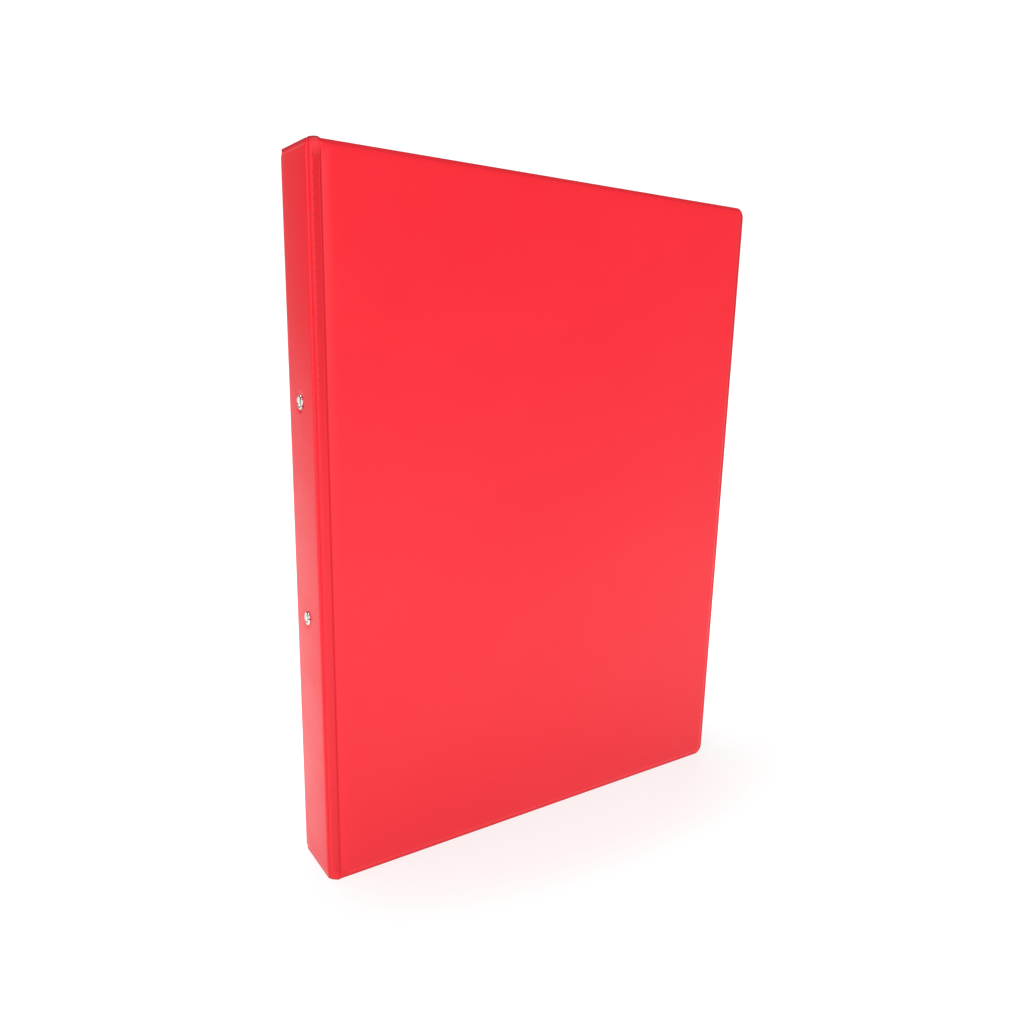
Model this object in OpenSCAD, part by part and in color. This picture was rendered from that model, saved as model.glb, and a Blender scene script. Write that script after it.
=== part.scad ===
// A4 two-ring binder, closed and standing upright: a case of PVC sheet welded over
// three boards, and a ring mechanism held to the spine by two tubular rivets.
// X runs from the spine to the covers' free edges, Y runs from the front cover to
// the back cover, and Z is up. The origin is the middle of the underside.

/* [Case] */
// Height of the covers and the spine
case_h = 320; // [316:1:340]
// Width from the spine's outer face to the covers' free edges
case_w = 240; // [230:1:260]
// Thickness over both covers when the binder is closed
case_t = 36; // [36:0.5:50]
// Thickness of the boards inside the covers and the spine
board_t = 1.8; // [1.2:0.1:1.8]
// Thickness of one sheet of PVC
sheet_t = 0.3; // [0.2:0.05:0.3]
// Width of the welded border outside each board
weld_w = 1.5; // [1:0.1:3]
// Corner radius of the welded border at the covers' free edges
corner_r = 5; // [3.5:0.5:12]
// Distance from the spine's outer face to the covers' hinge edges
hinge_dx = 5.8; // [5:0.1:6.5]
// Distance from the covers' outer faces to the edges of the spine's flat face
hinge_dy = 3.4; // [3:0.1:3.8]

/* [Ring mechanism] */
// Height of the mechanism's middle above the underside
mech_z = 171.3; // [150:0.1:171.5]
// Distance between the two rings, for sheets punched to ISO 838
ring_pitch = 80; // [78:0.5:82]
// Distance between the two rivets
rivet_pitch = 95.5; // [93:0.5:108]
// Inner diameter of the closed rings
ring_bore_d = 20; // [18:0.5:20]
// Diameter of the ring wire
wire_d = 2.6; // [2:0.1:2.6]
// Length of the arched cover plate
plate_l = 124; // [122:1:150]
// Width of the arched cover plate
plate_w = 17; // [17:0.2:18]
// Height of the cover plate above the spine's lining
plate_h = 5.4; // [5.4:0.1:5.8]
// Angle that each rail turns as the rings open
rail_travel = 11; // [4:1:11]

/* [Rivets] */
// Diameter of the rivet shank
shank_d = 4; // [3.4:0.1:4]
// Diameter over the curled petals outside the spine
curl_d = 6.7; // [6.2:0.1:7.4]
// Height of the curled petals above the spine's outer face
rivet_proud = 1.25; // [1:0.05:1.4]
// Number of petals that the shank splits into
petals = 5; // [3:1:7]

/* [Hidden] */
$fn = 64;
eps = 0.01;

red_outside = [0.93, 0.16, 0.20];
red_inside = [0.86, 0.14, 0.18];
board_grey = [0.62, 0.58, 0.52];
nickel = [0.80, 0.80, 0.78];

// Case
cover_t = board_t + 2 * sheet_t;
spine_x = (rivet_proud - case_w) / 2;
free_x = spine_x + case_w;
spine_in_x = spine_x + cover_t;
cover_x = spine_x + hinge_dx;
spine_half_w = case_t / 2 - hinge_dy;
cover_panel = [cover_x, free_x, true];
spine_panel = [-spine_half_w, spine_half_w, false];
web_t = 2.6 * sheet_t;
web_gap = 0.1;

// Cover plate, in a frame on the spine's lining with X away from the spine
plate_t = 0.7;
fold_r = 1.5;
fold_lip = 1.2;
plate_corner_r = 4;
plate_half_w = plate_w / 2;
arch_rise = plate_h - fold_r;
arch_r = (arch_rise * arch_rise + plate_half_w * plate_half_w) / (2 * arch_rise);
arch_x = plate_h - arch_r;

// Rails, which turn about their outer edges inside the plate's folds
rail_t = 0.8;
rail_l = plate_l - 4;
rail_clear = 0.4;
rail_y = plate_half_w - fold_r - rail_clear;
rail_w = rail_y - 0.2;
rail_tilt = rail_travel / 2;

// Rings
ring_r = (ring_bore_d + wire_d) / 2;
ring_x = ring_r + 1.9;
tip_gap = 0.05;
foot_y = 3.6;
foot_angle = 180 - asin(foot_y / ring_r);
tenon_y = 4.4;
tenon_u = rail_y - tenon_y;
tenon_r = 0.9;
stake_r = 1.4;
stake_t = 0.35;
nub_l = 0.9;
nub_r = 0.8;
nub_tip_r = 0.35;
nub_clear = 0.12;
slot_w = wire_d + 0.9;
slot_y0 = 3.1;
slot_y1 = plate_half_w - 0.8;

// Rivets
shank_r = shank_d / 2;
hole_r = shank_r + 0.05;
shank_wall = 0.5;
head_r = 3.4;
head_t = 0.8;
dimple_r = head_r + 0.2;
dimple_x = plate_h - 0.6;
curl_wire_r = (rivet_proud - 0.05) / 2;
curl_mid_r = curl_d / 2 - curl_wire_r;
split_w = 0.5;
notch_r = shank_r + 0.5;

// A panel is [low end, high end, whether the high end is a welded free edge].
// Its outline runs from end to end and over the height, pulled in by weld_in at the
// welded sides and by hinge_in at the hinge sides
module panel_outline(panel, weld_in, hinge_in) {
    free = panel[2];
    low = panel[0] + hinge_in;
    high = panel[1] - (free ? weld_in : hinge_in);
    r = free ? max(corner_r - weld_in, 0.5) : 0;
    translate([low, weld_in]) square([high - r - low, case_h - 2 * weld_in]);
    if (free) {
        translate([low, weld_in + r]) square([high - low, case_h - 2 * (weld_in + r)]);
        for (z = [weld_in + r, case_h - weld_in - r]) translate([high - r, z]) circle(r);
    }
}

// The board that fills a panel's pocket
module panel_board(panel) {
    translate([0, 0, sheet_t]) linear_extrude(board_t) panel_outline(panel, weld_w, sheet_t);
}

// One sheet of a panel: flat over the board's face, folded round half of its edges, and
// ending in the flat border that is welded to the other sheet in the panel's mid-plane
module panel_sheet(panel) {
    mid = cover_t / 2;
    linear_extrude(sheet_t) panel_outline(panel, weld_w - sheet_t, 0);
    linear_extrude(mid) difference() {
        panel_outline(panel, weld_w - sheet_t, 0);
        panel_outline(panel, weld_w, sheet_t);
    }
    translate([0, 0, mid - sheet_t]) linear_extrude(sheet_t) difference() {
        panel_outline(panel, 0, 0);
        panel_outline(panel, weld_w, sheet_t);
    }
}

// Turns a layer over, from a panel's outer face to its inner face
module inside() {
    translate([0, 0, cover_t]) mirror([0, 0, 1]) children();
}

// Stands a panel up as a cover, side -1 for the front and 1 for the back
module as_cover(side) {
    mirror([0, side < 0 ? 1 : 0, 0]) translate([0, case_t / 2, 0]) rotate([90, 0, 0]) children();
}

// Stands a panel up as the spine, with the holes for the rivets
module as_spine() {
    difference() {
        translate([spine_x, 0, 0]) rotate([90, 0, 90]) children();
        for (end = [-1, 1])
            translate([spine_x - 1, 0, mech_z + end * rivet_pitch / 2])
                rotate([0, 90, 0]) cylinder(h = cover_t + 2, r = hole_r);
    }
}

module cover_board(side) {
    color(board_grey) as_cover(side) panel_board(cover_panel);
}

module cover_outer_sheet(side) {
    color(red_outside) as_cover(side) panel_sheet(cover_panel);
}

module cover_lining(side) {
    color(red_inside) as_cover(side) inside() panel_sheet(cover_panel);
}

module spine_board() {
    color(board_grey) as_spine() panel_board(spine_panel);
}

module spine_outer_sheet() {
    color(red_outside) as_spine() panel_sheet(spine_panel);
}

module spine_lining() {
    color(red_inside) as_spine() inside() panel_sheet(spine_panel);
}

// The strip between the spine and a cover, where the two sheets are welded together
module hinge_web(side) {
    low = [spine_x, side * (spine_half_w + web_gap)];
    high = [cover_x - web_gap, side * (case_t / 2 - web_gap)];
    color(red_outside) linear_extrude(case_h) polygon([
        low,
        high,
        [high[0], high[1] - side * web_t],
        [low[0] + web_t, low[1]]
    ]);
}

// Places the mechanism's parts on the spine's lining, at the mechanism's middle
module on_spine() {
    translate([spine_in_x, 0, mech_z]) children();
}

// The cover plate before it is cut: an arch whose long edges fold under to hold the rails
module plate_sheet() {
    half_l = plate_l / 2;
    translate([0, 0, -half_l]) union() {
        intersection() {
            translate([arch_x, 0, 0]) difference() {
                cylinder(h = plate_l, r = arch_r, $fn = 128);
                translate([0, 0, -1]) cylinder(h = plate_l + 2, r = arch_r - plate_t, $fn = 128);
            }
            translate([fold_r, -plate_w, -1]) cube([plate_h, 2 * plate_w, plate_l + 2]);
        }
        for (side = [-1, 1]) translate([fold_r, side * (plate_half_w - fold_r), 0]) {
            intersection() {
                difference() {
                    cylinder(h = plate_l, r = fold_r);
                    translate([0, 0, -1]) cylinder(h = plate_l + 2, r = fold_r - plate_t);
                }
                translate([-2 * fold_r, side > 0 ? 0 : -2 * fold_r, -1])
                    cube([2 * fold_r + eps, 2 * fold_r, plate_l + 2]);
            }
            translate([-fold_r, side > 0 ? -fold_lip : -eps, 0])
                cube([plate_t, fold_lip + eps, plate_l]);
        }
    }
}

// The cover plate's outline seen from its front, wider than the plate, with round corners
module plate_outline() {
    half_l = plate_l / 2;
    wide = plate_w + 2;
    for (y = [-1, 1], z = [-1, 1])
        translate([y * (wide / 2 - plate_corner_r), z * (half_l - plate_corner_r)])
            circle(plate_corner_r);
    square([wide - 2 * plate_corner_r, plate_l], center = true);
    square([wide, plate_l - 2 * plate_corner_r], center = true);
}

module mechanism_cover_plate() {
    color(nickel) on_spine() difference() {
        union() {
            intersection() {
                plate_sheet();
                translate([-1, 0, 0]) rotate([90, 0, 90]) linear_extrude(plate_h + 2) plate_outline();
            }
            for (end = [-1, 1]) translate([dimple_x - plate_t, 0, end * rivet_pitch / 2])
                rotate([0, 90, 0]) cylinder(h = plate_t, r = dimple_r + 0.6);
        }
        for (end = [-1, 1]) translate([0, 0, end * rivet_pitch / 2]) rotate([0, 90, 0]) {
            translate([0, 0, dimple_x]) cylinder(h = plate_h, r = dimple_r);
            cylinder(h = plate_h + 1, r = hole_r);
        }
        for (side = [-1, 1], end = [-1, 1])
            translate([fold_r, side * (slot_y0 + slot_y1) / 2, end * ring_pitch / 2])
                translate([0, -(slot_y1 - slot_y0) / 2, -slot_w / 2])
                    cube([plate_h, slot_y1 - slot_y0, slot_w]);
    }
}

// A frame on a rail's turning edge in the closed pose, with Y running to the middle
module on_rail(side) {
    on_spine() translate([fold_r, side * rail_y, 0]) rotate([0, 0, side * rail_tilt])
        mirror([0, side > 0 ? 1 : 0, 0]) children();
}

module rail(side) {
    color(nickel) on_rail(side) difference() {
        union() {
            translate([-rail_t / 2, 0, -rail_l / 2]) cube([rail_t, rail_w, rail_l]);
            translate([0, 0, -rail_l / 2]) cylinder(h = rail_l, r = rail_t / 2);
        }
        for (end = [-1, 1]) {
            translate([-1, rail_y, end * rivet_pitch / 2])
                rotate([0, 90, 0]) cylinder(h = 2, r = notch_r);
            translate([-1, tenon_u, end * ring_pitch / 2])
                rotate([0, 90, 0]) cylinder(h = 2, r = tenon_r + 0.02);
        }
    }
}

// Half of a ring: a bent wire, cut flat where it sits on its rail, with a tenon
// staked through the rail and a tip that meets the other half's tip
module half_ring(side, end) {
    tip_start = asin(tip_gap / ring_r);
    color(nickel) union() {
        difference() {
            on_spine() translate([ring_x, 0, end * ring_pitch / 2])
                rotate([0, 0, side > 0 ? tip_start : -foot_angle])
                    rotate_extrude(angle = foot_angle - tip_start)
                        translate([ring_r, 0]) circle(wire_d / 2, $fn = 32);
            on_rail(side) translate([-2 * wire_d + rail_t / 2, -wire_d, end * ring_pitch / 2 - wire_d])
                cube([2 * wire_d, 4 * wire_d, 2 * wire_d]);
            if (side > 0) tip_cone(end, nub_clear);
        }
        on_rail(side) translate([0, tenon_u, end * ring_pitch / 2]) rotate([0, 90, 0]) {
            translate([0, 0, -rail_t / 2 - stake_t]) cylinder(h = stake_t, r = stake_r);
            translate([0, 0, -rail_t / 2 - eps]) cylinder(h = rail_t + 0.4, r = tenon_r);
        }
        if (side < 0) tip_cone(end, 0);
    }
}

// The cone on the front tip, or with clear above 0 the recess for it in the back tip
module tip_cone(end, clear) {
    on_spine() translate([ring_x + ring_r, -2 * tip_gap, end * ring_pitch / 2])
        rotate([-90, 0, 0])
            cylinder(h = nub_l + 2 * tip_gap + clear, r1 = nub_r + clear, r2 = nub_tip_r + clear);
}

// A tubular rivet: a flat head in the cover plate's dimple, a shank through the spine,
// and a far end that is split into petals and curled back over the spine's face
module rivet() {
    bore_r = shank_r - shank_wall;
    head_x = dimple_x;
    curl_x = -cover_t - rivet_proud + curl_wire_r;
    rotate([0, 90, 0]) difference() {
        rotate_extrude() {
            translate([bore_r, curl_x]) square([shank_wall, head_x + head_t / 2 - curl_x]);
            translate([0, head_x]) square([head_r - head_t / 2, head_t]);
            translate([0, head_x]) square([head_r, head_t / 2]);
            translate([head_r - head_t / 2, head_x + head_t / 2]) circle(head_t / 2 - eps);
            translate([curl_mid_r, curl_x]) circle(curl_wire_r);
            translate([bore_r, curl_x - curl_wire_r])
                square([curl_mid_r - bore_r, 2 * sheet_t]);
        }
        for (i = [0:petals - 1]) rotate([0, 0, (i + 0.5) * 360 / petals])
            translate([shank_r, -split_w / 2, curl_x - 2 * curl_wire_r])
                cube([curl_d, split_w, 3 * curl_wire_r - eps]);
    }
}

module spine_rivets() {
    color(nickel) on_spine() for (end = [-1, 1])
        translate([0, 0, end * rivet_pitch / 2]) rivet();
}

spine_board();
spine_outer_sheet();
spine_lining();
cover_board(-1);  // front_board
cover_outer_sheet(-1);  // front_outer_sheet
cover_lining(-1);  // front_lining
hinge_web(-1);  // front_hinge_web
cover_board(1);  // back_board
cover_outer_sheet(1);  // back_outer_sheet
cover_lining(1);  // back_lining
hinge_web(1);  // back_hinge_web
mechanism_cover_plate();
spine_rivets();
rail(-1);  // front_rail
half_ring(-1, 1);  // front_upper_half_ring
half_ring(-1, -1);  // front_lower_half_ring
rail(1);  // back_rail
half_ring(1, 1);  // back_upper_half_ring
half_ring(1, -1);  // back_lower_half_ring
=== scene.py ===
import math

import bmesh
import bpy
from mathutils import Matrix, Vector


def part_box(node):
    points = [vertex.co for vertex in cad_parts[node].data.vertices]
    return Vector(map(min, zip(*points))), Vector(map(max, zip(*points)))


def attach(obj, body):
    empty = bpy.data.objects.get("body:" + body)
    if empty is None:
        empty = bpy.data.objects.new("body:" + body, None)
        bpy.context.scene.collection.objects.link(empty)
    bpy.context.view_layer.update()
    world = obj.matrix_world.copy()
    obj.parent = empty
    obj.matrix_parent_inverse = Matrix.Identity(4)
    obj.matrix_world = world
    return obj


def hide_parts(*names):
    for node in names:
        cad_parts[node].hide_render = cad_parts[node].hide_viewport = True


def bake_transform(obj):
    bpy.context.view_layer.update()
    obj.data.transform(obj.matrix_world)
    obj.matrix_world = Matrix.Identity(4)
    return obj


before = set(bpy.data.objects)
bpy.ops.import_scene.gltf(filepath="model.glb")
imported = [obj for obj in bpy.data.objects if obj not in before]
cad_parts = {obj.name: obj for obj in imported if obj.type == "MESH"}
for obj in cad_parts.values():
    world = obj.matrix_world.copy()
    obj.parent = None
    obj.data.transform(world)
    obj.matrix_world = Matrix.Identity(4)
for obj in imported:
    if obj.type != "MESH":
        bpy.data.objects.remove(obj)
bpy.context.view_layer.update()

# A red A4 ring binder of PVC sheet welded over three boards, closed and standing
# upright. Lengths are in metres; MM turns the small ones into millimetres.
# Plan places are (u, v): u runs inwards from the spine's outer face, and v runs
# inwards from a cover's outer face, so that one list serves both hinges.
MM = 0.001

SPINE_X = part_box("spine_outer_sheet")[0].x
cover_low, cover_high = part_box("front_outer_sheet")
board_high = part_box("front_board")[1]
rivets_low, rivets_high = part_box("spine_rivets")
plate_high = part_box("mechanism_cover_plate")[1]

FACE_Y = -cover_low.y
HEIGHT = (cover_high.z - cover_low.z) / MM
WIDTH = (cover_high.x - SPINE_X) / MM
BORDER = (cover_high.x - board_high.x) / MM
MIDDLE_V = FACE_Y / MM
PANEL_T = (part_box("spine_lining")[1].x - SPINE_X) / MM
SHEET_T = 0.28
# The covers' rounded corners, and how far from a corner the grid is bent for them
CORNER_R = 5.0
CORNER_ZONE = 8.0

RIVET_R = rivets_high.y / MM
RIVET_Z = [rivets_low.z / MM + RIVET_R, rivets_high.z / MM - RIVET_R]
# Round each rivet a square of the spine's grid, of this half width, gives way to rings
RIVET_PATCH = 6.0
HOLE_R = 2.1
RIVET_RINGS = [5.3, 4.8, 4.3, 3.9, 3.5, 3.1, 2.6, HOLE_R]

# Depths below the outer face at which the two sheets are welded along the border
WELD_OUT = 0.5
WELD_IN = WELD_OUT + 0.6

# Distances from a welded edge at which the grid has a line
EDGE_LINES = [0, 0.45, 0.9, 1.25, 1.5, 1.62, 1.78, 2.0, 2.3, 2.65, 3.1, 3.8, 4.8, 6.2, 8, 11]


# ---------------------------------------------------------------- mesh helpers
def smoothstep(t):
    t = min(max(t, 0.0), 1.0)
    return t * t * (3 - 2 * t)


def bump_at(t, centre, half_width):
    """1 at the centre, falling smoothly to 0 at half_width from it."""
    return 1 - smoothstep(abs(t - centre) / half_width)


def window(t, low, high, soft):
    """1 between low and high, falling smoothly to 0 over soft outside them."""
    return smoothstep((t - low) / soft + 1) * smoothstep((high - t) / soft + 1)


def lift(distance):
    """How far a sheet has risen from its weld to the board's face, from 0 to 1."""
    if distance <= BORDER:
        return 0.0
    rise = math.sin(math.pi / 2 * min((distance - BORDER) / 1.5, 1.0))
    return 0.78 * rise + 0.22 * smoothstep((distance - BORDER) / 5.0)


def flare(distance):
    """How far the hinge strip has left the shape of its welded ends, from 0 to 1."""
    return smoothstep((distance - 0.8) / 6.5)


def catmull(points, steps):
    """A smooth line through the points, with steps pieces between each two."""
    line = []
    last = len(points) - 1
    for i in range(last):
        a, b, c, d = (points[min(max(i + k, 0), last)] for k in (-1, 0, 1, 2))
        for s in range(steps):
            t = s / steps
            line.append(tuple(
                0.5 * (2 * q + (r - p) * t + (2 * p - 5 * q + 4 * r - w) * t * t
                       + (3 * q - p - 3 * r + w) * t ** 3)
                for p, q, r, w in zip(a, b, c, d)))
    line.append(tuple(points[-1]))
    return line


def normals(line):
    """The direction into the binder at each point of a plan line run from spine to cover."""
    found = []
    for i in range(len(line)):
        a, b = line[max(i - 1, 0)], line[min(i + 1, len(line) - 1)]
        du, dv = b[0] - a[0], b[1] - a[1]
        size = math.hypot(du, dv) or 1.0
        found.append((-dv / size, du / size))
    return found


def round_corner(a, b):
    """Moves a point at distances a and b from two edges so that their corner is round."""
    p, q = CORNER_ZONE - a, CORNER_ZONE - b
    if p <= 0 or q <= 0:
        return a, b
    half = max(p, q)
    radius = max(CORNER_R - (CORNER_ZONE - half), 0.0)
    if radius == 0:
        return a, b
    straight = half - radius
    along = min(p, q) / half * (straight + math.pi / 4 * radius)
    if along <= straight:
        far, near = half, along
    else:
        angle = (along - straight) / radius
        far, near = straight + radius * math.cos(angle), straight + radius * math.sin(angle)
    p, q = (far, near) if p >= q else (near, far)
    return CORNER_ZONE - p, CORNER_ZONE - q


def spaced(low, high, step):
    """Evenly spaced values from low to high, about step apart."""
    count = max(1, round((high - low) / step))
    return [low + (high - low) * i / count for i in range(count + 1)]


def heights(step, extra=()):
    """The grid's rows: close together at both welded ends, step apart between them."""
    ends = EDGE_LINES[-1]
    rows = EDGE_LINES + [HEIGHT - d for d in EDGE_LINES]
    rows += spaced(ends, HEIGHT - ends, step)
    for low, high, close in extra:
        rows = [z for z in rows if not low < z < high] + spaced(low, high, close)
    return sorted(set(round(z, 4) for z in rows))


def join_rings(one, other, faces):
    """Adds the band of faces between two closed rings of as many vertices."""
    for i in range(len(one)):
        j = (i + 1) % len(one)
        faces.append([one[i], one[j], other[j], other[i]])


def finish_mesh(name, vertices, faces, smooth_angle=40):
    """Makes the object, with its faces turned outwards and its sharp edges kept."""
    mesh = bpy.data.meshes.new(name)
    mesh.from_pydata([Vector(p) * MM for p in vertices], [], faces)
    bm = bmesh.new()
    bm.from_mesh(mesh)
    bmesh.ops.remove_doubles(bm, verts=bm.verts, dist=0.5e-6)
    bmesh.ops.recalc_face_normals(bm, faces=bm.faces)
    for face in bm.faces:
        face.smooth = True
    for edge in bm.edges:
        edge.smooth = edge.is_manifold and edge.calc_face_angle(0.0) < math.radians(smooth_angle)
    bm.to_mesh(mesh)
    bm.free()
    piece = bpy.data.objects.new(name, mesh)
    bpy.context.scene.collection.objects.link(piece)
    return piece


def layered_sheet(name, columns, rows, point, patches=()):
    """A closed sheet with a visible and a hidden surface over a grid.
    A column is (key, the row numbers it has); point(key, z, layer) gives a place.
    A patch is (first column, last column, centre y, centre z, place(y, z, layer)): a
    square of the grid that is refilled with rings round a hole."""
    vertices, index, faces = [], {}, []

    for c, (key, used) in enumerate(columns):
        for r in used:
            for layer in (0, 1):
                index[c, r, layer] = len(vertices)
                vertices.append(point(key, rows[r], layer))

    def patched(c, z):
        return any(p[0] <= c < p[1] and abs(z - p[3]) < RIVET_PATCH for p in patches)

    for c in range(len(columns) - 1):
        here, there = columns[c][1], columns[c + 1][1]
        shared = here if len(here) <= len(there) else there
        at_here, at_there = ({r: i for i, r in enumerate(used)} for used in (here, there))
        for low, high in zip(shared, shared[1:]):
            if patched(c, (rows[low] + rows[high]) / 2):
                continue
            left = here[at_here[low]:at_here[high] + 1]
            right = there[at_there[low]:at_there[high] + 1]
            for layer in (0, 1):
                loop = [index[c + 1, r, layer] for r in right]
                loop += [index[c, r, layer] for r in reversed(left)]
                faces.append(loop if layer else loop[::-1])
        for r in (shared[0], shared[-1]):
            faces.append([index[c, r, 0], index[c + 1, r, 0], index[c + 1, r, 1], index[c, r, 1]])
    for c in (0, len(columns) - 1):
        used = columns[c][1]
        for a, b in zip(used, used[1:]):
            faces.append([index[c, a, 0], index[c, b, 0], index[c, b, 1], index[c, a, 1]])
    for patch in patches:
        refill(patch, columns, rows, index, vertices, faces)
    return finish_mesh(name, vertices, faces)


def refill(patch, columns, rows, index, vertices, faces):
    """Fills a square left open in the grid with rings round a rivet's hole."""
    first, last, y0, z0, place = patch
    inside = [r for r in columns[first][1] if abs(rows[r] - z0) < RIVET_PATCH + 0.01]
    across = list(range(first, last + 1))
    square = [(c, inside[0]) for c in across] + [(last, r) for r in inside[1:]]
    square += [(c, inside[-1]) for c in reversed(across[:-1])]
    square += [(first, r) for r in reversed(inside[1:-1])]
    angles = [math.atan2(rows[r] - z0, columns[c][0] - y0) for c, r in square]
    rims = []
    for layer in (0, 1):
        before = [index[c, r, layer] for c, r in square]
        for radius in RIVET_RINGS:
            ring = []
            for angle in angles:
                ring.append(len(vertices))
                vertices.append(
                    place(y0 + radius * math.cos(angle), z0 + radius * math.sin(angle), layer))
            join_rings(before, ring, faces)
            before = ring
        rims.append(before)
    join_rings(*rims, faces)


# ---------------------------------------------------------------- the vinyl skins
# Plan lines from the spine's rounded edge over the welded strip and up on to a cover, for
# the outer face and for the inner one: at mid height, and in the welded border.
STRIP_OUT = [
    (0.98, 3.46), (1.00, 3.28), (1.08, 3.08), (1.22, 2.82), (1.40, 2.54), (1.58, 2.30),
    (1.76, 2.12), (1.94, 2.01), (2.12, 1.96), (2.35, 1.95), (2.70, 1.97), (3.20, 2.01),
    (3.80, 2.06), (4.40, 2.10), (4.80, 2.09), (5.05, 1.95), (5.20, 1.65), (5.32, 1.34),
    (5.48, 1.10), (5.80, 0.92), (6.30, 0.74), (7.00, 0.52), (7.90, 0.30), (9.20, 0.10),
    (12.5, 0.00),
]
STRIP_OUT_BORDER = [
    (1.02, 3.40), (1.02, 3.10), (1.06, 2.80), (1.20, 2.52), (1.42, 2.24), (1.68, 1.98),
    (1.94, 1.75), (2.25, 1.48), (2.60, 1.18), (3.00, 0.86), (3.50, 0.48), (4.00, 0.24),
    (4.40, 0.28), (4.75, 0.38), (5.05, 0.46), (5.25, 0.49), (5.42, 0.50), (5.60, 0.50),
    (5.90, 0.51), (6.35, 0.50), (7.10, 0.50), (8.20, 0.50), (9.40, 0.50), (10.8, 0.50),
    (12.5, 0.50),
]
STRIP_IN = [
    (1.38, 3.86), (1.52, 3.66), (1.70, 3.42), (1.95, 3.12), (2.20, 2.90), (2.60, 2.72),
    (3.20, 2.66), (3.80, 2.68), (4.40, 2.72), (4.90, 2.72), (5.30, 2.66), (5.65, 2.53),
    (5.95, 2.44), (6.35, 2.40), (6.80, 2.40), (7.60, 2.40), (9.00, 2.40), (12.5, 2.40),
]
STRIP_IN_BORDER = [
    (1.52, 3.64), (1.60, 3.42), (1.72, 3.16), (1.94, 2.86), (2.25, 2.54), (2.70, 2.14),
    (3.25, 1.66), (3.90, 1.22), (4.60, 1.06), (5.15, 1.12), (5.55, 1.13), (5.85, 1.11),
    (6.10, 1.10), (6.40, 1.10), (6.80, 1.10), (7.60, 1.10), (9.00, 1.10), (12.5, 1.10),
]
# Plan lines round the spine's own edge, from inside the strip on to the spine's flat
SPINE_EDGE_OUT = [
    (1.12, 3.62), (1.10, 3.40), (0.98, 3.26), (0.75, 3.26), (0.45, 3.38), (0.20, 3.62),
    (0.06, 3.95), (0.00, 4.35),
]
SPINE_EDGE_OUT_BORDER = [
    (1.14, 3.62), (1.13, 3.40), (1.04, 3.26), (0.88, 3.24), (0.70, 3.36), (0.57, 3.60),
    (0.51, 3.93), (0.50, 4.35),
]
SPINE_EDGE_IN = [
    (1.62, 3.62), (1.66, 3.46), (1.82, 3.42), (2.05, 3.46), (2.25, 3.62), (2.36, 3.92),
    (2.40, 4.35),
]
SPINE_EDGE_IN_BORDER = [
    (1.42, 3.70), (1.44, 3.56), (1.42, 3.50), (1.32, 3.54), (1.20, 3.68), (1.12, 3.95),
    (1.10, 4.35),
]

# The strip's own rise at its ends gives way to the cover's between these two u
COVER_START = (5.4, 7.0)
# The small peak at the strip's top end: how high, and where
PEAK = 0.55
PEAK_U = 2.3
# The serrated weld line, and the plan places between which the strip bends
WELD_PITCH = 3.0
WELD_U = 2.2
BEND_START = (1.23, 2.73)
BEND_END = (4.82, 0.75)
# The boards' clearance under the vinyl, and how far they stop short of its edge
BOARD_GAP = 0.01
BOARD_INSET = 1.75
# How far the spine bulges, and how deep it is drawn in round a rivet
SPINE_CROWN = 0.32
RIVET_DIMPLE = 0.26


def place_uv(u, v, z, side):
    """Plan place (u, v) at height z on the front (-1) or the back (1) half, in mm."""
    return (SPINE_X / MM + u, side * (MIDDLE_V - v), z)


def tooth(z, sharpness):
    """1 in the middle of each weld mark, 0 half way between two of them."""
    return (0.5 + 0.5 * math.cos(2 * math.pi * z / WELD_PITCH)) ** sharpness


def strip_relief(u, z):
    """How far the strip's outer face stands out: serrated weld marks, pressed ends."""
    if not 1.2 < u < 6.2:
        return 0.0
    from_end = min(z, HEIGHT - z)
    clear_of_ends = smoothstep((from_end - 6.0) / 2)
    strength = 0.45 + 0.55 * smoothstep((z - 0.6 * HEIGHT) / (0.15 * HEIGHT))
    weld = bump_at(u, WELD_U, 0.7) * 0.16 * tooth(z, 2) * strength
    channel = -0.05 * bump_at(u, WELD_U, 0.95)
    pressed = window(from_end, BORDER + 0.3, 5.6, 0.35) - 0.6 * bump_at(from_end, 3.85, 0.3)
    pocket = -0.30 * pressed * window(u, 2.35, 4.9, 0.45)
    return clear_of_ends * (weld + channel) + pocket


def cover_columns(mid, border, steps, fine_rows, coarse_rows):
    """Grid columns of a cover's skin: (plan data, rows) from the strip to the free edge."""
    mid, border = catmull(mid, steps), catmull(border, steps)
    inward, inward_border = normals(mid), normals(border)
    columns = [((m, b, n, k), fine_rows) for m, b, n, k in zip(mid, border, inward, inward_border)]
    start = mid[-1][0]
    rest = spaced(start, WIDTH - EDGE_LINES[-1], 9.0)[1:]
    rest += [WIDTH - d for d in reversed(EDGE_LINES[:-1])]
    for u in rest:
        columns.append((((u, mid[-1][1]), (u, border[-1][1]), (0, 1), (0, 1)), coarse_rows))
    return columns


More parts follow.
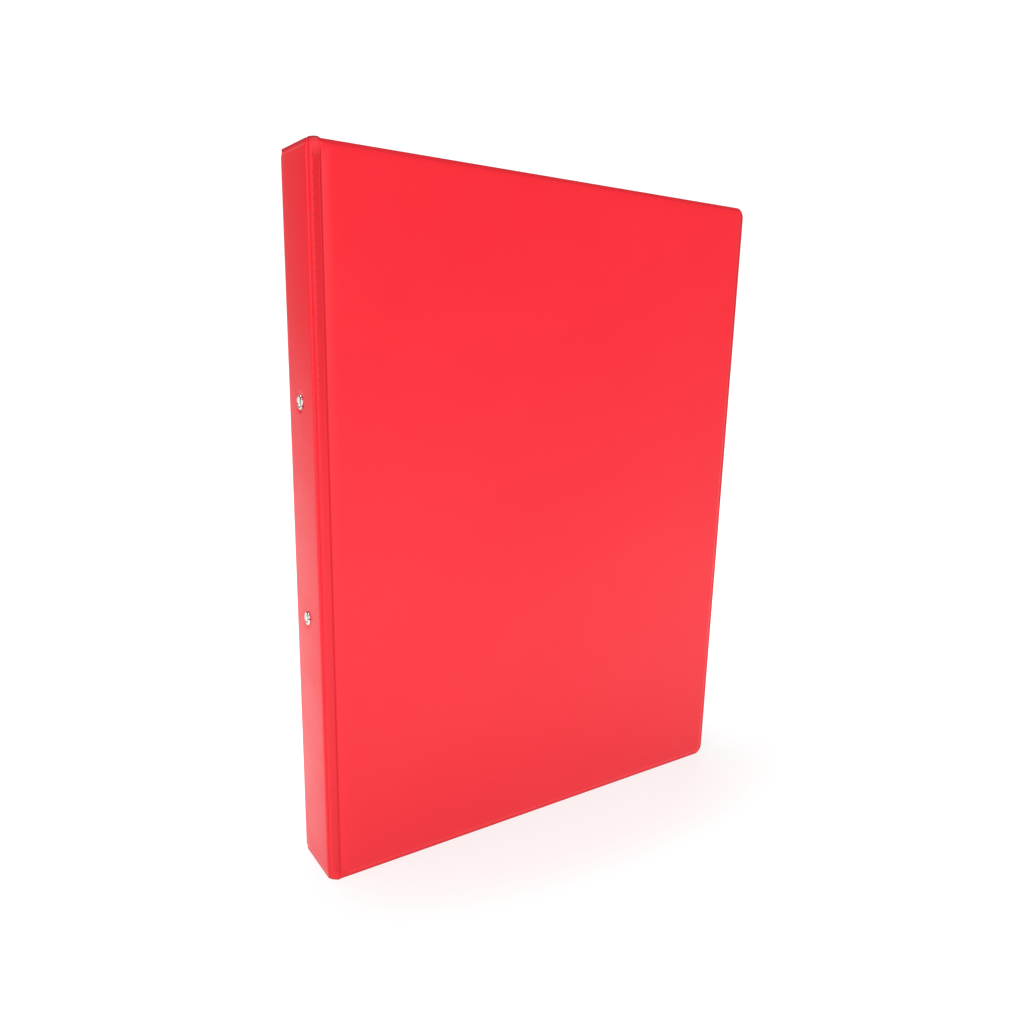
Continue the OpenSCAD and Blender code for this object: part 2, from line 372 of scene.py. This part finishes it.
def cover_point(key, z, layer, side, outside):
    """A place on a cover's outer skin or lining; layer 1 is its hidden surface."""
    mid, border, inward, inward_border = key
    a = WIDTH - mid[0]
    b = min(z, HEIGHT - z)
    on_cover = smoothstep((mid[0] - COVER_START[0]) / (COVER_START[1] - COVER_START[0]))
    k = flare(b) + (lift(min(a, b)) - flare(b)) * on_cover
    depth = layer * SHEET_T * (1 if outside else -1)
    u, v = (q + (p - q) * k for p, q in zip(mid, border))
    nu, nv = (q + (p - q) * k for p, q in zip(inward, inward_border))
    peak = PEAK * bump_at(mid[0], PEAK_U, 2.6) * (1 - smoothstep(b / 6.0))
    if outside and layer == 0:
        depth -= strip_relief(mid[0], z)
    u, v = u + nu * depth, v + nv * depth
    if a < CORNER_ZONE and b < CORNER_ZONE:
        a, b = round_corner(a, b)
        u = WIDTH - a
        z = b if z < HEIGHT / 2 else HEIGHT - b
    if z > HEIGHT / 2:
        z += peak
    return place_uv(u, v, z, side)


def cover_skin(name, side, outside):
    """The sheet of one cover, in one piece with the welded strip beside it."""
    rows = heights(0.5 if outside else 2.0)
    wide = {round(z, 4) for z in heights(5.0)}
    fine_rows = list(range(len(rows)))
    coarse_rows = [fine_rows[0]]
    for r in fine_rows[1:]:
        near_edge = min(rows[r], HEIGHT - rows[r]) <= EDGE_LINES[-1]
        if near_edge or rows[r] - rows[coarse_rows[-1]] >= 4.99 or rows[r] in wide:
            coarse_rows.append(r)
    mid, border = (STRIP_OUT, STRIP_OUT_BORDER) if outside else (STRIP_IN, STRIP_IN_BORDER)
    columns = cover_columns(mid, border, 2, fine_rows, coarse_rows)

    def point(key, z, layer):
        return cover_point(key, z, layer, side, outside)
    return layered_sheet(name, columns, rows, point)


def cover_board(name, side):
    """The board in a cover's pocket, its edges crushed round under the vinyl."""
    rows = [z for z in heights(10.0) if BOARD_INSET <= min(z, HEIGHT - z)]
    us = [6.45, 6.8, 7.5, 9.0, 12.0] + spaced(20.0, WIDTH - EDGE_LINES[-1], 10.0)
    us += [WIDTH - d for d in reversed(EDGE_LINES[:-1]) if d >= BOARD_INSET]
    out_line, in_line = catmull(STRIP_OUT, 4), catmull(STRIP_IN, 4)

    def at(line, u):
        for p, q in zip(line, line[1:]):
            if p[0] <= u <= q[0]:
                return p[1] + (q[1] - p[1]) * (u - p[0]) / (q[0] - p[0])
        return line[-1][1]

    def point(u, z, layer):
        line, weld = (in_line, WELD_IN) if layer else (out_line, WELD_OUT)
        key = ((u, at(line, u)), (u, weld), (0, 1), (0, 1))
        x, y, z = cover_point(key, z, 0, side, not layer)
        inwards = -1 if layer else 1
        return (x, y - side * inwards * (SHEET_T + BOARD_GAP), z)
    return layered_sheet(name, [(u, list(range(len(rows)))) for u in us], rows, point)


def spine_surface(y, z, outside):
    """Distance in from the spine's face plane, at a place on its flat part, in mm."""
    k = lift(min(z, HEIGHT - z))
    dimple = sum(1 - smoothstep((math.hypot(y, z - z0) - 3.3) / 1.9) for z0 in RIVET_Z)
    if outside:
        crown = SPINE_CROWN * (1 - (y / (MIDDLE_V - SPINE_EDGE_OUT[-1][1])) ** 2)
        return WELD_OUT - (WELD_OUT + crown) * k + RIVET_DIMPLE * dimple
    return WELD_IN + (PANEL_T - WELD_IN) * k


def spine_columns(edge, edge_border, steps):
    """Grid columns of a spine sheet, from its front edge over the flat to its back edge.
    A key is a y on the flat, or (plan place, border place, outward, side) at an edge,
    whose plan line runs the other way from a cover's."""
    mid, border = catmull(edge, steps), catmull(edge_border, steps)
    outward = normals(mid)
    edge_keys = list(zip(mid, border, outward))[:-1]
    flat = MIDDLE_V - mid[-1][1]
    ys = spaced(-flat, -RIVET_PATCH, 1.5) + spaced(-RIVET_PATCH, RIVET_PATCH, 1.5)[1:]
    ys += spaced(RIVET_PATCH, flat, 1.5)[1:]
    keys = [(m, b, n, -1) for m, b, n in edge_keys] + ys
    keys += [(m, b, n, 1) for m, b, n in reversed(edge_keys)]
    return keys


def spine_sheet(name, outside):
    """The sheet on the spine's outer or inner face, with its holes for the rivets."""
    extra = [(z - 2 * RIVET_PATCH, z - RIVET_PATCH, 3.0) for z in RIVET_Z]
    extra += [(z + RIVET_PATCH, z + 2 * RIVET_PATCH, 3.0) for z in RIVET_Z]
    extra += [(z - RIVET_PATCH, z + RIVET_PATCH, 1.5) for z in RIVET_Z]
    rows = heights(5.0, extra)
    if outside:
        keys = spine_columns(SPINE_EDGE_OUT, SPINE_EDGE_OUT_BORDER, 2)
    else:
        keys = spine_columns(SPINE_EDGE_IN, SPINE_EDGE_IN_BORDER, 2)
    sign = 1 if outside else -1
    x0 = SPINE_X / MM

    def flat_place(y, z, layer):
        return (x0 + spine_surface(y, z, outside) + sign * layer * SHEET_T, y, z)

    def point(key, z, layer):
        if isinstance(key, float):
            return flat_place(key, z, layer)
        mid, border, outward, side = key
        k = lift(min(z, HEIGHT - z))
        depth = -sign * layer * SHEET_T
        u, v = (q + (p - q) * k + n * depth for p, q, n in zip(mid, border, outward))
        return place_uv(u, v, z, side)

    first = next(i for i, key in enumerate(keys) if key == -RIVET_PATCH)
    last = next(i for i, key in enumerate(keys) if key == RIVET_PATCH)
    patches = [(first, last, 0.0, z, flat_place) for z in RIVET_Z]
    columns = [(key, list(range(len(rows)))) for key in keys]
    return layered_sheet(name, columns, rows, point, patches)


def spine_board(name):
    """The board in the spine's pocket."""
    extra = [(z - RIVET_PATCH, z + RIVET_PATCH, 1.5) for z in RIVET_Z]
    rows = [z for z in heights(10.0, extra) if BOARD_INSET <= min(z, HEIGHT - z)]
    flat = MIDDLE_V - 3.95
    rounded = 0.4
    ys = [-flat] + spaced(-flat + rounded, -RIVET_PATCH, 2.0)
    ys += spaced(-RIVET_PATCH, RIVET_PATCH, 1.5)[1:]
    ys += spaced(RIVET_PATCH, flat - rounded, 2.0)[1:] + [flat]

    def place(y, z, layer):
        sign = -1 if layer else 1
        gap = SHEET_T + BOARD_GAP + 0.3 * smoothstep((abs(y) - flat + rounded) / rounded)
        return (SPINE_X / MM + spine_surface(y, z, not layer) + sign * gap, y, z)

    first = next(i for i, y in enumerate(ys) if y == -RIVET_PATCH)
    last = next(i for i, y in enumerate(ys) if y == RIVET_PATCH)
    patches = [(first, last, 0.0, z, place) for z in RIVET_Z]
    return layered_sheet(name, [(y, list(range(len(rows)))) for y in ys], rows, place, patches)


# ---------------------------------------------------------------- rivets
PETALS = 5
PETAL_COLUMNS = 9
SHANK_R = 1.75
CURL_R = 0.67
CURL_H = 0.47
CURL_STEPS = 12
RIVET_T = 0.46
# The petals' roots, as a height above the spine's face plane
PETAL_ROOT = -0.3


def rivet_profile():
    """(radius, height above the spine's face plane, thickness) from the head's rim along
    the shank to the petals' roots."""
    head = -(plate_high.x - SPINE_X) / MM + 0.55
    line = [
        (RIVET_R - 0.45, head, 0.5), (RIVET_R - 0.3, head, 0.62), (2.9, head, 0.7),
        (2.3, head, 0.7), (1.95, head + 0.05, 0.6), (SHANK_R, head + 0.4, 0.5),
    ]
    line += [(SHANK_R, h, RIVET_T) for h in spaced(head + 0.9, PETAL_ROOT, 1.5)]
    return line


def rivet(name, z0, turn):
    """A tubular rivet: flat head inside, shank, and an end split into curled petals."""
    profile = rivet_profile()
    vertices, faces = [], []

    def ring_place(radius, h, thick, nr, nh, angle, layer):
        """A place half a thickness to one side of the profile."""
        shift = thick / 2 * (1 if layer else -1)
        r, height = radius + nr * shift, h + nh * shift
        return (SPINE_X / MM - height, r * math.cos(angle), z0 + r * math.sin(angle))

    def profile_normal(i):
        a, b = profile[max(i - 1, 0)], profile[min(i + 1, len(profile) - 1)]
        dr, dh = b[0] - a[0], b[1] - a[1]
        size = math.hypot(dr, dh) or 1.0
        return dh / size, -dr / size

    count = PETALS * (PETAL_COLUMNS - 1)
    sector = 2 * math.pi / PETALS
    rings = []
    for i, (radius, h, thick) in enumerate(profile):
        nr, nh = profile_normal(i)
        ring = []
        for layer in (0, 1):
            ring.append(list(range(len(vertices), len(vertices) + count)))
            for c in range(count):
                angle = turn + sector * c / (PETAL_COLUMNS - 1)
                vertices.append(ring_place(radius, h, thick, nr, nh, angle, layer))
        rings.append(ring)
    for lower, upper in zip(rings, rings[1:]):
        for layer in (0, 1):
            join_rings(lower[layer], upper[layer], faces)
    join_rings(*rings[0], faces)

    for p in range(PETALS):
        length = 1.0 + 0.06 * math.sin(2.3 * p + z0)
        lean = 0.10 * math.sin(1.7 * p + 0.4 * z0)
        root = [(p * (PETAL_COLUMNS - 1) + c) % count for c in range(PETAL_COLUMNS)]
        before = [[ring[c] for c in root] for ring in rings[-1]]
        for s in range(1, CURL_STEPS + 1):
            t = s / CURL_STEPS
            arc = math.pi * 1.05 * t * length
            rise = min(t / 0.25, 1.0) * 0.56
            radius = SHANK_R + CURL_R - CURL_R * math.cos(arc)
            h = PETAL_ROOT + rise + CURL_H * (1 + lean) * math.sin(arc)
            nr, nh = math.cos(arc), -math.sin(arc)
            thick = RIVET_T - 0.14 * t
            narrowing = 0.05 * smoothstep(t / 0.5) + 0.13 * smoothstep((t - 0.6) / 0.4)
            width = 0.5 * sector * (0.975 - narrowing)
            middle = turn + sector * (p + 0.5)
            now = []
            for layer in (0, 1):
                row = []
                for c in range(PETAL_COLUMNS):
                    across = 2 * c / (PETAL_COLUMNS - 1) - 1
                    tip = 1 - 0.10 * t * across * across
                    row.append(len(vertices))
                    vertices.append(ring_place(
                        SHANK_R + (radius - SHANK_R) * tip, h, thick * (1 - 0.25 * across ** 4),
                        -nr, -nh, middle + across * width, layer))
                now.append(row)
            for old, new in zip(before, now):
                for c in range(PETAL_COLUMNS - 1):
                    faces.append([old[c], old[c + 1], new[c + 1], new[c]])
            for c in (0, PETAL_COLUMNS - 1):
                faces.append([before[0][c], before[1][c], now[1][c], now[0][c]])
            before = now
        for c in range(PETAL_COLUMNS - 1):
            faces.append([before[0][c], before[0][c + 1], before[1][c + 1], before[1][c]])
    return finish_mesh(name, vertices, faces, 50)


# ---------------------------------------------------------------- materials
# The floor's own grey, and its painted glow: dimmed beside the binder as a painted shadow, and full
# away from it
FLOOR_ALBEDO = 0.3
FLOOR_NEAR = 0.72
FLOOR_FAR = 1.10


def new_material(name):
    material = bpy.data.materials.new(name)
    material.use_nodes = True
    nodes, links = material.node_tree.nodes, material.node_tree.links
    shader = nodes["Principled BSDF"]
    return material, nodes, links, shader


def add_noise(nodes, links, vector, scale, detail, rough=0.5):
    noise = nodes.new("ShaderNodeTexNoise")
    noise.inputs["Scale"].default_value = scale
    noise.inputs["Detail"].default_value = detail
    noise.inputs["Roughness"].default_value = rough
    links.new(vector, noise.inputs["Vector"])
    return noise


def add_ramp(nodes, links, source, stops):
    """A colour ramp from (position, colour) stops."""
    ramp = nodes.new("ShaderNodeValToRGB")
    elements = ramp.color_ramp.elements
    while len(elements) < len(stops):
        elements.new(0.5)
    for element, (position, colour) in zip(elements, stops):
        element.position = position
        element.color = (*colour, 1.0)
    links.new(source, ramp.inputs["Fac"])
    return ramp


def add_range(nodes, links, source, low, high, from_low=0.0, from_high=1.0):
    """Maps a value on to the range from low to high."""
    node = nodes.new("ShaderNodeMapRange")
    node.interpolation_type = "SMOOTHSTEP"
    node.inputs["From Min"].default_value = from_low
    node.inputs["From Max"].default_value = from_high
    node.inputs["To Min"].default_value = low
    node.inputs["To Max"].default_value = high
    links.new(source, node.inputs["Value"])
    return node


def add_bump(nodes, links, height, strength, distance, normal=None):
    bump = nodes.new("ShaderNodeBump")
    bump.inputs["Strength"].default_value = strength
    bump.inputs["Distance"].default_value = distance
    links.new(height, bump.inputs["Height"])
    if normal is not None:
        links.new(normal, bump.inputs["Normal"])
    return bump


def pvc(name, deep, pale, roughness):
    """Soft PVC sheet: satin, finely grained, a little uneven, and darkened by painted shade stored on
    the mesh.
    """
    material, nodes, links, shader = new_material(name)
    where = nodes.new("ShaderNodeTexCoord").outputs["Object"]
    cloud = add_noise(nodes, links, where, 9.0, 3.0)
    tint = add_ramp(nodes, links, cloud.outputs["Fac"], [(0.3, deep), (0.7, pale)])
    # The weld attribute holds painted shade, with painted glints left at the weld marks; by it the
    # red is mixed towards a darker red.
    mark = nodes.new("ShaderNodeAttribute")
    mark.attribute_name = "weld"
    blend = nodes.new("ShaderNodeMix")
    blend.data_type = "RGBA"
    blend.inputs["B"].default_value = (0.32 * deep[0], 0.4 * deep[1], 0.4 * deep[2], 1)
    links.new(mark.outputs["Fac"], blend.inputs["Factor"])
    links.new(tint.outputs["Color"], blend.inputs["A"])
    links.new(blend.outputs["Result"], shader.inputs["Base Color"])
    haze = add_noise(nodes, links, where, 38.0, 4.0, 0.6)
    dull, bright = roughness + 0.04, roughness - 0.03
    gloss = add_range(nodes, links, haze.outputs["Fac"], bright, dull, 0.3, 0.7)
    links.new(gloss.outputs["Result"], shader.inputs["Roughness"])
    shader.inputs["Specular IOR Level"].default_value = 0.32
    shader.inputs["IOR"].default_value = 1.5
    grain = nodes.new("ShaderNodeTexVoronoi")
    grain.feature = "SMOOTH_F1"
    grain.inputs["Scale"].default_value = 2100.0
    grain.inputs["Smoothness"].default_value = 0.6
    links.new(where, grain.inputs["Vector"])
    fine = add_bump(nodes, links, grain.outputs["Distance"], 0.10, 0.00008)
    wave = add_noise(nodes, links, where, 26.0, 2.0)
    broad = add_bump(nodes, links, wave.outputs["Fac"], 0.06, 0.0015, fine.outputs["Normal"])
    links.new(broad.outputs["Normal"], shader.inputs["Normal"])
    return material


def nickel(name, colour, roughness, stretch):
    """Bright nickel plate with fine drawn lines and slight clouding."""
    material, nodes, links, shader = new_material(name)
    where = nodes.new("ShaderNodeTexCoord").outputs["Object"]
    shader.inputs["Metallic"].default_value = 1.0
    cloud = add_noise(nodes, links, where, 160.0, 3.0)
    darker = tuple(0.86 * c for c in colour)
    tint = add_ramp(nodes, links, cloud.outputs["Fac"], [(0.35, darker), (0.65, colour)])
    links.new(tint.outputs["Color"], shader.inputs["Base Color"])
    mapping = nodes.new("ShaderNodeMapping")
    mapping.inputs["Scale"].default_value = stretch
    links.new(where, mapping.inputs["Vector"])
    lines = add_noise(nodes, links, mapping.outputs["Vector"], 900.0, 2.0)
    dull, bright = roughness + 0.10, roughness - 0.05
    gloss = add_range(nodes, links, lines.outputs["Fac"], bright, dull, 0.3, 0.7)
    links.new(gloss.outputs["Result"], shader.inputs["Roughness"])
    bump = add_bump(nodes, links, lines.outputs["Fac"], 0.08, 0.00004)
    links.new(bump.outputs["Normal"], shader.inputs["Normal"])
    return material


def greyboard():
    """Pressed recycled board, flecked."""
    material, nodes, links, shader = new_material("greyboard")
    where = nodes.new("ShaderNodeTexCoord").outputs["Object"]
    flecks = add_noise(nodes, links, where, 700.0, 5.0, 0.7)
    stops = [(0.3, (0.20, 0.17, 0.13)), (0.5, (0.34, 0.30, 0.24)), (0.75, (0.46, 0.42, 0.35))]
    tint = add_ramp(nodes, links, flecks.outputs["Fac"], stops)
    links.new(tint.outputs["Color"], shader.inputs["Base Color"])
    shader.inputs["Roughness"].default_value = 0.9
    bump = add_bump(nodes, links, flecks.outputs["Fac"], 0.3, 0.0001)
    links.new(bump.outputs["Normal"], shader.inputs["Normal"])
    return material


def add_math(nodes, links, operation, a, b):
    node = nodes.new("ShaderNodeMath")
    node.operation = operation
    links.new(a, node.inputs[0])
    links.new(b, node.inputs[1])
    return node.outputs[0]


def floor_material():
    """A white floor whose glow is painted light: dimmed close to the binder as a painted shadow,
    and dimmer at the back left and at the front right."""
    material, nodes, links, shader = new_material("studio_floor")
    where = nodes.new("ShaderNodeTexCoord").outputs["Object"]
    mapping = nodes.new("ShaderNodeMapping")
    mapping.inputs["Location"].default_value = (-0.010, 0.022, 0)
    mapping.inputs["Scale"].default_value = (0.34, 1, 1)
    links.new(where, mapping.inputs["Vector"])
    distance = nodes.new("ShaderNodeVectorMath")
    distance.operation = "LENGTH"
    links.new(mapping.outputs["Vector"], distance.inputs[0])
    # Painted shadow: the floor's glow is dimmed close to the binder.
    glow = add_range(nodes, links, distance.outputs["Value"], FLOOR_NEAR, FLOOR_FAR, 0.03, 0.15)
    split = nodes.new("ShaderNodeSeparateXYZ")
    links.new(where, split.inputs["Vector"])
    # Painted shade on the floor: its glow is dimmer at the back left and at the front right.
    near_spine = add_range(nodes, links, split.outputs["X"], 0.50, 1.0, -0.60, -0.14)
    in_front = add_range(nodes, links, split.outputs["Y"], 1.0, 0.0, -0.35, 0.20)
    left = add_math(nodes, links, "MAXIMUM", near_spine.outputs["Result"], in_front.outputs["Result"])
    leftward = add_range(nodes, links, split.outputs["X"], 0.0, 1.0, 0.85, 0.20)
    behind = add_range(nodes, links, split.outputs["Y"], 0.6, 1.0, -0.75, -0.36)
    right = add_math(nodes, links, "MAXIMUM", leftward.outputs["Result"], behind.outputs["Result"])
    sides = add_math(nodes, links, "MULTIPLY", left, right)
    light = add_math(nodes, links, "MULTIPLY", glow.outputs["Result"], sides)
    links.new(light, shader.inputs["Emission Strength"])
    shader.inputs["Emission Color"].default_value = (1, 1, 1, 1)
    shader.inputs["Base Color"].default_value = (FLOOR_ALBEDO, FLOOR_ALBEDO, FLOOR_ALBEDO, 1)
    shader.inputs["Roughness"].default_value = 0.8
    shader.inputs["Specular IOR Level"].default_value = 0.0
    return material


red_outside = pvc("red_pvc_outside", (0.91, 0.017, 0.031), (0.94, 0.020, 0.036), 0.35)
red_inside = pvc("red_pvc_inside", (0.84, 0.015, 0.027), (0.88, 0.018, 0.031), 0.40)
board_grey = greyboard()
plate_nickel = nickel("nickel_plate", (0.72, 0.71, 0.68), 0.22, (1, 1, 0.04))
wire_nickel = nickel("nickel_wire", (0.74, 0.73, 0.70), 0.16, (1, 1, 0.3))
rivet_nickel = nickel("nickel_rivet", (0.78, 0.77, 0.73), 0.24, (1, 1, 1))


# ---------------------------------------------------------------- the pieces
def dress(piece, material):
    """Gives a piece its material."""
    piece.data.materials.clear()
    piece.data.materials.append(material)
    return piece


def strip_painted_shade(u, z):
    """Painted shade on the hinge strip's red: in its creases and along its weld line, with painted
    glints.
    """
    clear_of_ends = smoothstep((min(z, HEIGHT - z) - 1.5) / 3)
    upper = smoothstep((z - 0.55 * HEIGHT) / (0.3 * HEIGHT))
    # Painted shade along the weld line and over the strip's inner half, deeper towards the top.
    line = bump_at(u, WELD_U, 0.9) * (0.08 + 0.31 * upper)
    inner_half_shade = window(u, 2.6, 5.0, 0.4) * (0.05 + 0.17 * upper)
    # Painted shade in the crease at the cover's edge and in the valley beside the spine's edge.
    crease_shade = 0.34 * bump_at(u, 5.2, 0.75)
    valley_shade = 0.18 * bump_at(u, 1.15, 0.4)
    # Painted glints: the shade is left off at each weld mark.
    shade_off_at_glints = 1 - tooth(z, 1.5) * bump_at(u, WELD_U, 0.8)
    return clear_of_ends * (max(line, inner_half_shade) * shade_off_at_glints + crease_shade + valley_shade)


def store_painted_shade(piece, is_cover, outside):
    """Stores how much painted shade darkens the red at each point, in the weld attribute: at the cut
    edges, in the welded border, more so at its top, and along a cover's hinge strip."""
    mark = piece.data.attributes.new("weld", "FLOAT", "POINT")
    for i, vertex in enumerate(piece.data.vertices):
        u, z = (vertex.co.x - SPINE_X) / MM, vertex.co.z / MM
        edge = min(z, HEIGHT - z)
        if is_cover:
            edge = min(edge, WIDTH - u)
        # Painted shade: the red darkens at the cut edges and along the welded border, most along the
        # top.
        cut = 0.95 * (1 - smoothstep(edge / 0.6))
        border = (0.34 if z > HEIGHT / 2 else 0.06) * (1 - smoothstep((edge - 1.2) / 0.6))
        # Painted shade and painted glints along a cover's hinge strip.
        strip = strip_painted_shade(u, z) if is_cover and outside else 0.0
        mark.data[i].value = min(max(cut, border) + strip, 1.0)


def bend_points(side):
    """Where a hinge strip starts and stops bending, in the frame."""
    ends = []
    for u, v in (BEND_START, BEND_END):
        ends.append(Vector(place_uv(u, v, HEIGHT / 2, side)) * MM)
    return ends


spine_skin = dress(spine_sheet("spine_skin", True), red_outside)
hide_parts("spine_outer_sheet")
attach(spine_skin, "spine")
store_painted_shade(spine_skin, False, True)
spine_inner = dress(spine_sheet("spine_lining_skin", False), red_inside)
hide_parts("spine_lining")
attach(spine_inner, "spine")
store_painted_shade(spine_inner, False, False)
spine_core = dress(spine_board("spine_greyboard"), board_grey)
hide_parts("spine_board")
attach(spine_core, "spine")

for cover, side in (("front", -1), ("back", 1)):
    body = cover + "_cover"
    start, end = bend_points(side)
    skin = dress(cover_skin(cover + "_skin", side, True), red_outside)
    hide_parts(cover + "_outer_sheet", cover + "_hinge_web")
    store_painted_shade(skin, True, True)
    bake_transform(skin)
    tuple(start)
    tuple(end)
    inner = dress(cover_skin(cover + "_lining_skin", side, False), red_inside)
    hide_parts(cover + "_lining")
    store_painted_shade(inner, True, False)
    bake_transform(inner)
    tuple(start)
    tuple(end)
    core = dress(cover_board(cover + "_greyboard", side), board_grey)
    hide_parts(cover + "_board")
    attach(core, body)

for name, z0, turn in (("lower_rivet", RIVET_Z[0], 0.5), ("upper_rivet", RIVET_Z[1], 1.1)):
    piece = dress(rivet(name, z0, turn), rivet_nickel)
    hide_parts("spine_rivets")
    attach(piece, "spine")

for node in ("mechanism_cover_plate", "front_rail", "back_rail"):
    dress(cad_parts[node], plate_nickel)
for end in ("front_upper", "front_lower", "back_upper", "back_lower"):
    dress(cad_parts[end + "_half_ring"], wire_nickel)


# ---------------------------------------------------------------- floor, light, camera
# Directions, seen from the binder, in which the surroundings change
BACKDROP = (0.559, 0.829, 0.0)
BACK_LEFT = (-0.574, 0.819, 0.0)
FRONT_RIGHT = (0.74, -0.67, 0.0)
FRONT_LEFT = (-0.40, -0.91, 0.0)


def floor():
    half = 6.0
    mesh = bpy.data.meshes.new("floor")
    corners = [(-half, -half, 0), (half, -half, 0), (half, half, 0), (-half, half, 0)]
    mesh.from_pydata(corners, [], [(0, 1, 2, 3)])
    piece = bpy.data.objects.new("floor", mesh)
    bpy.context.scene.collection.objects.link(piece)
    mesh.materials.append(floor_material())


def softbox(name, place, target, size, power):
    """A large square light that faces the target."""
    light = bpy.data.lights.new(name, "AREA")
    light.shape = "SQUARE"
    light.size = size
    light.energy = power
    holder = bpy.data.objects.new(name, light)
    bpy.context.scene.collection.objects.link(holder)
    holder.location = place
    holder.rotation_euler = (Vector(target) - Vector(place)).to_track_quat("-Z", "Y").to_euler()


def studio():
    """A white backdrop in the view, surroundings graded by direction, and two softboxes."""
    world = bpy.data.worlds.new("studio")
    bpy.context.scene.world = world
    world.use_nodes = True
    nodes, links = world.node_tree.nodes, world.node_tree.links
    direction = nodes.new("ShaderNodeTexCoord").outputs["Generated"]

    def facing(axis, low, high, from_low, from_high):
        dot = nodes.new("ShaderNodeVectorMath")
        dot.operation = "DOT_PRODUCT"
        dot.inputs[1].default_value = axis
        links.new(direction, dot.inputs[0])
        node = add_range(nodes, links, dot.outputs["Value"], low, high, from_low, from_high)
        return node.outputs["Result"]

    height = facing((0, 0, 1), 0.86, 0.60, 0.0, 0.9)
    left = facing(BACK_LEFT, 1.0, 0.18, 0.30, 0.85)
    right = facing(FRONT_RIGHT, 1.0, 0.42, 0.2, 0.9)
    front = facing(FRONT_LEFT, 1.0, 2.0, 0.76, 0.95)
    around = height
    for factor in (left, right, front):
        around = add_math(nodes, links, "MULTIPLY", around, factor)
    backdrop = facing(BACKDROP, 0.0, 1.15, 0.70, 0.79)
    light = add_math(nodes, links, "MAXIMUM", around, backdrop)
    links.new(light, nodes["Background"].inputs["Strength"])
    nodes["Background"].inputs["Color"].default_value = (1, 1, 1, 1)
    middle = (0, 0, HEIGHT * MM / 2)
    softbox("overhead", (-0.25, 0.25, 1.7), middle, 1.1, 14.0)
    softbox("front", (-1.3, -1.2, 1.0), middle, 1.0, 4.5)


def camera():
    """The view: eye height, direction and framing, with the film plane off centre."""
    yaw, pitch, roll = math.radians(35.67), math.radians(-13.11), math.radians(1.90)
    ahead = math.cos(pitch)
    forward = Vector((ahead * math.sin(yaw), ahead * math.cos(yaw), math.sin(pitch)))
    level = forward.cross(Vector((0, 0, 1))).normalized()
    above = level.cross(forward)
    right = level * math.cos(roll) + above * math.sin(roll)
    up = above * math.cos(roll) - level * math.sin(roll)
    data = bpy.data.cameras.new("camera")
    data.sensor_width = 36.0
    data.lens = 29.44
    data.shift_x = -0.0372
    data.shift_y = 0.0224
    holder = bpy.data.objects.new("camera", data)
    bpy.context.scene.collection.objects.link(holder)
    turn = Matrix((right, up, -forward)).transposed().to_4x4()
    holder.matrix_world = Matrix.Translation((SPINE_X - 0.12036, -0.35058, 0.24803)) @ turn
    bpy.context.scene.camera = holder


floor()
studio()
camera()
bpy.context.scene.view_settings.view_transform = "Standard"

bpy.context.view_layer.update()
